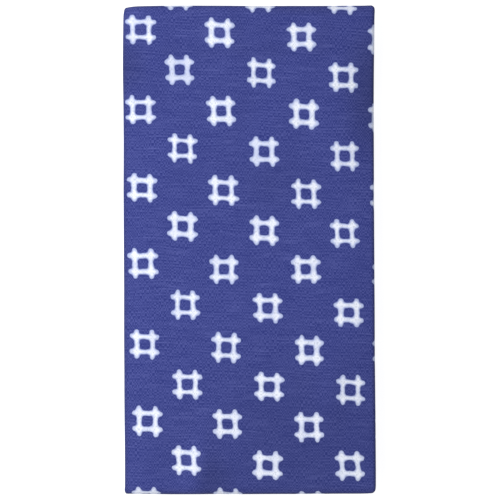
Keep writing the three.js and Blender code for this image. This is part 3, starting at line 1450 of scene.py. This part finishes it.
@dataclass(frozen=True)
class Effects:
    """The node groups that the finishes share.

    Attributes:
        marks: The printed marks.
        weave: The threads.
        mottle: The slow changes of tone.
        dye: The painted shade and painted light of the ground, and the dye that crept into the marks.
    """

    marks: Effect
    weave: Effect
    mottle: Effect
    dye: Effect


@dataclass(frozen=True)
class ClothFinish:
    """What all finishes of the cloth share.

    Attributes:
        name: The material's name.
        roughness: How matte the threads are.
        specular: How much they mirror.
        sheen: How much their fuzz shines.
        sheen_roughness: How soft that shine is.
    """

    name: str
    roughness: float = 0.9
    specular: float = 0.2
    sheen: float = 0.08
    sheen_roughness: float = 0.5

    def start(self) -> tuple[bpy.types.Material, Graph, Sockets, Socket]:
        """Starts the material.

        Returns:
            The material, its graph, its shader's inputs, and the socket with the place on the flat cloth.
        """
        material = bpy.data.materials.new(self.name)
        material.use_nodes = True
        material.node_tree.nodes.clear()
        g = Graph(material.node_tree)
        shader = g.node("ShaderNodeBsdfPrincipled")
        plain = {
            "Roughness": self.roughness,
            "Specular IOR Level": self.specular,
            "Sheen Weight": self.sheen,
            "Sheen Roughness": self.sheen_roughness,
        }
        g.feed(shader.inputs, plain)
        g.node("ShaderNodeOutputMaterial", shader.outputs[0])
        cloth = g.node("ShaderNodeUVMap", uv_map=UV_NAME).outputs[0]
        return material, g, shader.inputs, cloth

    def bump(self, g: Graph, height: Socket, distance: float, under: Socket | None = None) -> Socket:
        """Adds a bump.

        Args:
            g: The material's graph.
            height: The height, from 0 to 1.
            distance: How high 1 is.
            under: The normal of a coarser bump under this one.

        Returns:
            The socket of the bumped normal.
        """
        made = g.node("ShaderNodeBump")
        g.feed(made.inputs, {"Distance": distance, "Height": height})
        if under is not None:
            g.feed(made.inputs, {"Normal": under})
        return made.outputs[0]


@dataclass(frozen=True)
class PrintedGauze(ClothFinish):
    """The printed face: indigo gauze with undyed marks.

    Attributes:
        ground: The dyed threads where they lie on top.
        deep: The dyed threads where they go under.
        painted_shade_colour: The ground where it took the most dye.
        pale_thread_and_painted_light: A thicker thread that took less dye.
        bled: The edge of a mark, which took a little dye.
        undyed: The middle of a mark.
        shaded: A mark's threads where they go under.
        weft_slubs: Where a crosswise thread is thicker, by how pale it is.
        warp_slubs: Where a lengthwise thread is thicker, by how pale it is.
        slub_paleness: How much paler a thicker thread is.
        clouds: Where the ground is slowly deeper, by the slowest tone.
        cloud_depth: How much deeper it is there.
        ring_depth: How much deeper the dye is in the ring round a mark.
        sunken: How dull a mark's threads are, by how much they stand out.
        flecks: How far that dulling holds, by the quickest tone.
        thread_height: How high the threads stand.
        pucker_height: How high the cloth's small puckers stand.
    """

    name: str = "printed_gauze"
    sheen: float = 0.0
    ground: Colour = from_screen(73, 80, 144)
    deep: Colour = from_screen(39, 48, 115)
    # Painted shade: the colour that the painted-shade patches darken the ground to.
    painted_shade_colour: Colour = from_screen(36, 42, 72)
    # Also the painted light: the colour that the painted-light patches pale the ground to.
    pale_thread_and_painted_light: Colour = from_screen(106, 113, 176)
    bled: Colour = from_screen(164, 175, 217)
    undyed: Colour = from_screen(226, 230, 242)
    shaded: Colour = from_screen(168, 175, 190)
    weft_slubs: Change = Change(0.55, 0.9)
    warp_slubs: Change = Change(0.6, 0.95)
    slub_paleness: float = 0.22
    clouds: Change = Change(0.3, 0.7)
    cloud_depth: float = 0.1
    ring_depth: float = 0.18
    sunken: Change = Change(0.0, 0.7, start=0.6, end=0.0)
    flecks: Change = Change(0.65, 0.35, start=0.1)
    thread_height: float = 0.07 * MM
    pucker_height: float = 0.08 * MM

    def build(self, effects: Effects) -> bpy.types.Material:
        """Builds the material.

        Args:
            effects: The node groups that the finishes share.

        Returns:
            The material.
        """
        material, g, shader, cloth = self.start()
        marks = effects.marks.place(g, cloth)
        weave = effects.weave.place(g, cloth)
        mottle = effects.mottle.place(g, cloth)
        dye = effects.dye.place(g, cloth)
        threads = self._threads(g, weave)
        clouds = g.ramp(mottle["Broad"], *self.clouds)
        ring = g.math("MULTIPLY", marks["Ring"], self.ring_depth)
        slow = g.math("MULTIPLY_ADD", clouds, self.cloud_depth, ring)
        # Painted shade: mixes the ground towards the dark grey-blue where the patches paint shade, as along
        # the folded edges and creases.
        deeper = g.mixed(dye["PaintedShade"], g.mixed(slow, threads, self.deep), self.painted_shade_colour)
        # Painted light: mixes the ground towards the pale thread where the patches paint light.
        dyed = g.mixed(dye["PaintedLight"], deeper, self.pale_thread_and_painted_light)
        clean = g.math("MULTIPLY", marks["White"], g.math("SUBTRACT", 1.0, dye["Crept"]))
        white = g.mixed(clean, self.bled, self.undyed)
        sunken = g.ramp(weave["Relief"], *self.sunken)
        dull = g.math("MULTIPLY", sunken, g.ramp(mottle["Grain"], *self.flecks))
        colour = g.mixed(marks["Mark"], dyed, g.mixed(dull, white, self.shaded))
        puckers = self.bump(g, mottle["Fine"], self.pucker_height)
        normal = self.bump(g, weave["Height"], self.thread_height, puckers)
        g.feed(shader, {"Base Color": colour, "Normal": normal})
        return material

    def _threads(self, g: Graph, weave: Sockets) -> Socket:
        """Mixes the colour of the dyed ground, thread by thread.

        Args:
            g: The material's graph.
            weave: The outputs of the weave's group.

        Returns:
            The socket that gives the colour.
        """
        threads = g.mixed(weave["Relief"], self.deep, self.ground)
        weft, warp = g.ramp(weave["Weft"], *self.weft_slubs), g.ramp(weave["Warp"], *self.warp_slubs)
        slubs = g.math("MAXIMUM", weft, warp)
        return g.mixed(g.math("MULTIPLY", slubs, self.slub_paleness), threads, self.pale_thread_and_painted_light)


@dataclass(frozen=True)
class PileBack(ClothFinish):
    """The back: a fine low pile, paler than the face because the print barely reaches it.

    Attributes:
        pile: The undyed loops.
        stained: The loops that the dye of the face reached.
        staining: How far it reached them, by the quicker of the slow tones.
        loop_turns: How many loops there are in a metre.
        loop_height: How high they stand.
        loop_shape: How high a loop is, by the distance from its middle.
    """

    name: str = "pile_back"
    sheen: float = 0.25
    pile: Colour = from_screen(196, 203, 230)
    stained: Colour = from_screen(120, 130, 188)
    staining: Change = Change(0.2, 0.8, start=0.55, end=0.9)
    loop_turns: float = 900.0
    loop_height: float = 0.45 * MM
    loop_shape: Change = Change(0.0, 0.7, start=1.0, end=0.0)

    def build(self, effects: Effects) -> bpy.types.Material:
        """Builds the material.

        Args:
            effects: The node groups that the finishes share.

        Returns:
            The material.
        """
        material, g, shader, cloth = self.start()
        marks = effects.marks.place(g, cloth)
        mottle = effects.mottle.place(g, cloth)
        dyed = g.math("SUBTRACT", 1.0, marks["Mark"])
        stain = g.math("MULTIPLY", dyed, g.ramp(mottle["Fine"], *self.staining))
        colour = g.mixed(stain, self.pile, self.stained)
        loops = g.node("ShaderNodeTexVoronoi", feature="F1")
        g.feed(loops.inputs, {"Vector": cloth, "Scale": self.loop_turns})
        round_loops = g.ramp(loops.outputs["Distance"], *self.loop_shape)
        g.feed(shader, {"Base Color": colour, "Normal": self.bump(g, round_loops, self.loop_height)})
        return material


@dataclass(frozen=True)
class CutEdge(ClothFinish):
    """The selvedges and cut ends, where both sides of the cloth show their threads.

    Attributes:
        dyed: The dyed threads.
        pale: The threads of the back, and those of a mark.
        thread_turns: How many threads there are in a metre.
        thread_height: How high they stand.
        pale_threads: Where the threads are pale, by their height.
    """

    name: str = "cloth_edge"
    dyed: Colour = from_screen(86, 95, 160)
    pale: Colour = from_screen(168, 176, 214)
    thread_turns: float = 1500.0
    thread_height: float = 0.25 * MM
    pale_threads: Change = Change(0.4, 0.62)

    def build(self, effects: Effects) -> bpy.types.Material:
        """Builds the material.

        Args:
            effects: The node groups that the finishes share.

        Returns:
            The material.
        """
        material, g, shader, cloth = self.start()
        marks = effects.marks.place(g, cloth)
        place = g.node("ShaderNodeTexCoord").outputs["Object"]
        threads = g.cloud(place, self.thread_turns, detail=1.0).outputs[0]
        dyed = g.mixed(g.ramp(threads, *self.pale_threads), self.dyed, self.pale)
        colour = g.mixed(marks["Mark"], dyed, self.pale)
        g.feed(shader, {"Base Color": colour, "Normal": self.bump(g, threads, self.thread_height)})
        return material


@dataclass
class Towel:
    """The towel: one cloth, folded, settled and dressed.

    Attributes:
        stack: The evenly folded stack.
        settling: How that stack lies in truth.
        rim: How far the cloth's cut edges are rounded.
        rim_segments: How many steps that rounding has.
        level_from: How level a face of the flat cloth is where it belongs to a side and not to an edge.
    """

    NAME: ClassVar[str] = "folded_cloth"
    NODE: ClassVar[str] = "towel"
    SLOT: ClassVar[str] = "printed_cotton"

    stack: FoldedStack
    settling: Settling
    rim: float = 0.3 * MM
    rim_segments: int = 2
    level_from: float = 0.9

    def build(self) -> bpy.types.Object:
        """Builds the cloth.

        Returns:
            Its object.
        """
        bm = bmesh.new()
        self._cut_flat(bm)
        self._give_thickness(bm)
        self._mark_sides(bm)
        for vert in bm.verts:
            vert.co = self.settling.move(self.stack.fold(vert.co))
        self._centre_on_frame(bm)
        for face in bm.faces:
            face.smooth = True
        return add_mesh(self.NAME, bm)

    def _cut_flat(self, bm: bmesh.types.BMesh) -> None:
        """Cuts the flat cloth, with its steps where the folds need them.

        Args:
            bm: The empty mesh.
        """
        columns, rows = self.stack.columns(), self.stack.rows()
        bmesh.ops.create_grid(bm, x_segments=len(columns) - 1, y_segments=len(rows) - 1, size=1.0)
        for vert in bm.verts:
            column = round((vert.co.x + 1) / 2 * (len(columns) - 1))
            row = round((vert.co.y + 1) / 2 * (len(rows) - 1))
            vert.co = Vector((columns[column], rows[row], 0.0))

    def _give_thickness(self, bm: bmesh.types.BMesh) -> None:
        """Gives the flat cloth its thickness, half to each side, and rounds its cut edges.

        Args:
            bm: The mesh of the flat cloth.
        """
        bmesh.ops.solidify(bm, geom=bm.faces[:], thickness=self.stack.cloth)
        heights = [vert.co.z for vert in bm.verts]
        middle = (min(heights) + max(heights)) / 2
        bmesh.ops.translate(bm, verts=bm.verts[:], vec=(0.0, 0.0, -middle))
        bmesh.ops.recalc_face_normals(bm, faces=bm.faces[:])
        sharp = [edge for edge in bm.edges if edge.calc_face_angle(0.0) > QUARTER_TURN / 2]
        rim = [edge for edge in sharp if abs(edge.verts[0].co.z - edge.verts[1].co.z) < self.rim]
        bmesh.ops.bevel(
            bm,
            geom=rim,
            offset=self.rim,
            affect="EDGES",
            segments=self.rim_segments,
            profile=0.5,
            material=-1,
        )

    def _mark_sides(self, bm: bmesh.types.BMesh) -> None:
        """Gives each face its side of the cloth, and its place on the print as its UV.

        Args:
            bm: The mesh of the flat cloth with its thickness.
        """
        uv = bm.loops.layers.uv.new(UV_NAME)
        bm.normal_update()
        for face in bm.faces:
            level = abs(face.normal.z) > self.level_from
            side = Side.FACE if face.normal.z > 0 else Side.BACK
            face.material_index = side if level else Side.EDGE
            for loop in face.loops:
                loop[uv].uv = self.stack.print_place(loop.vert.co)

    def _centre_on_frame(self, bm: bmesh.types.BMesh) -> None:
        """Centres the settled cloth over its own solid in the frame.

        Args:
            bm: The mesh of the settled cloth.
        """
        low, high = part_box(self.NODE)
        shift = (low + high) / 2
        for axis in range(2):
            places = [vert.co[axis] for vert in bm.verts]
            shift[axis] -= (min(places) + max(places)) / 2
        shift.z = 0.0
        bmesh.ops.translate(bm, verts=bm.verts[:], vec=shift)

    def dress(self, piece: bpy.types.Object, effects: Effects) -> None:
        """Gives each side of the cloth its finish.

        Args:
            piece: The cloth.
            effects: The node groups that the finishes share.
        """
        finishes = {Side.FACE: PrintedGauze(), Side.BACK: PileBack(), Side.EDGE: CutEdge()}
        for side in Side:
            piece.data.materials.append(finishes[side].build(effects))

    def declare(self, piece: bpy.types.Object) -> None:
        """Hangs the cloth on the frame's root, and hides the solid that it stands for.

        Args:
            piece: The cloth.
        """
        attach(piece, "root")
        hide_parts(self.NODE)


@dataclass(frozen=True)
class Softbox:
    """A square light that faces the towel.

    Attributes:
        name: The light's name.
        place: Where it hangs.
        size: How wide it is.
        power: How strong it is, in watts.
    """

    name: str
    place: Triple
    size: float
    power: float

    def build(self) -> None:
        """Builds the light and turns it to the towel."""
        light = bpy.data.lights.new(self.name, "AREA")
        light.shape = "SQUARE"
        light.size = self.size
        light.energy = self.power
        lamp = add_object(self.name, light)
        lamp.location = self.place
        lamp.rotation_euler = (-Vector(self.place)).to_track_quat("-Z", "Y").to_euler()


@dataclass
class Studio:
    """The pale floor, the soft light and the camera straight above.

    Attributes:
        top: The height of the printed face.
        picture: How many pixels the picture has each way.
        pixel: What a pixel covers at the height of the printed face.
        towel_middle: The pixel where the middle of the towel is.
        lens: The camera's focal length, in millimetres.
        sensor: The width of its sensor, in millimetres.
        sight: How far it sees.
        floor_size: The floor from side to side.
        floor_colour: The floor's colour.
        floor_glow: How strongly the floor glows, as a light table does.
        sky_colour: The colour of the sky and of that glow.
        sky_strength: How bright the sky is.
        softboxes: The lights.
    """

    top: float
    picture: int = 500
    pixel: float = 0.464 * MM
    towel_middle: Pair = (249.2, 249.85)
    lens: float = 135.0
    sensor: float = 36.0
    sight: float = 10.0
    floor_size: float = 8.0
    floor_colour: Colour = (0.35, 0.35, 0.35, 1.0)
    floor_glow: float = 0.89
    sky_colour: Colour = (1.0, 1.0, 1.0, 1.0)
    sky_strength: float = 0.4
    softboxes: tuple[Softbox, ...] = (
        Softbox(name="key_softbox", place=(-0.37, 0.06, 0.56), size=0.4, power=4.9),
    )

    def build(self) -> None:
        """Builds the studio round the towel."""
        self._floor()
        self._sky()
        for softbox in self.softboxes:
            softbox.build()
        self._camera()
        bpy.context.scene.view_settings.view_transform = "Standard"

    def _floor(self) -> None:
        """Lays the pale floor under the towel."""
        bm = bmesh.new()
        bmesh.ops.create_grid(bm, x_segments=1, y_segments=1, size=self.floor_size / 2)
        floor = add_mesh("floor", bm)
        material = bpy.data.materials.new("pale_floor")
        material.use_nodes = True
        plain = {
            "Base Color": self.floor_colour,
            "Roughness": 1.0,
            "Specular IOR Level": 0.0,
            "Emission Color": self.sky_colour,
            "Emission Strength": self.floor_glow,
        }
        g = Graph(material.node_tree)
        g.feed(g.tree.nodes["Principled BSDF"].inputs, plain)
        floor.data.materials.append(material)

    def _sky(self) -> None:
        """Lights the scene evenly from all round."""
        world = bpy.data.worlds.new("studio")
        world.use_nodes = True
        g = Graph(world.node_tree)
        g.feed(g.tree.nodes["Background"].inputs, {"Color": self.sky_colour, "Strength": self.sky_strength})
        bpy.context.scene.world = world

    def _camera(self) -> None:
        """Hangs the camera straight above, looking down."""
        data = bpy.data.cameras.new("camera")
        data.lens = self.lens
        data.sensor_width = self.sensor
        data.clip_end = self.sight
        camera = add_object("camera", data)
        covered = self.picture * self.pixel
        middle = self.picture / 2
        camera.location = (
            (middle - self.towel_middle[0]) * self.pixel,
            (self.towel_middle[1] - middle) * self.pixel,
            self.top + covered * self.lens / self.sensor,
        )
        bpy.context.scene.camera = camera


def main() -> None:
    """Builds the towel and the studio round it."""
    logging.basicConfig(level=logging.INFO, format="%(name)s: %(message)s")
    stack = FoldedStack()
    towel = Towel(stack, Settling(stack))
    piece = towel.build()
    effects = Effects(
        marks=WellCurbPrint().build(),
        weave=GauzeWeave().build(),
        mottle=SoftMottle().build(),
        # The painted shade and painted light of the ground, with the dye that crept into two marks.
        dye=ShadeLightAndDye().build(),
    )
    towel.dress(piece, effects)
    towel.declare(piece)
    cut = (stack.section.length / MM, stack.route.length / MM)
    log.info("%s: %d faces, cut %.0f by %.0f mm", piece.name, len(piece.data.polygons), *cut)
    Studio(top=stack.height).build()
    log.info("studio: floor, softboxes and camera")


if __name__ == "__main__":
    main()
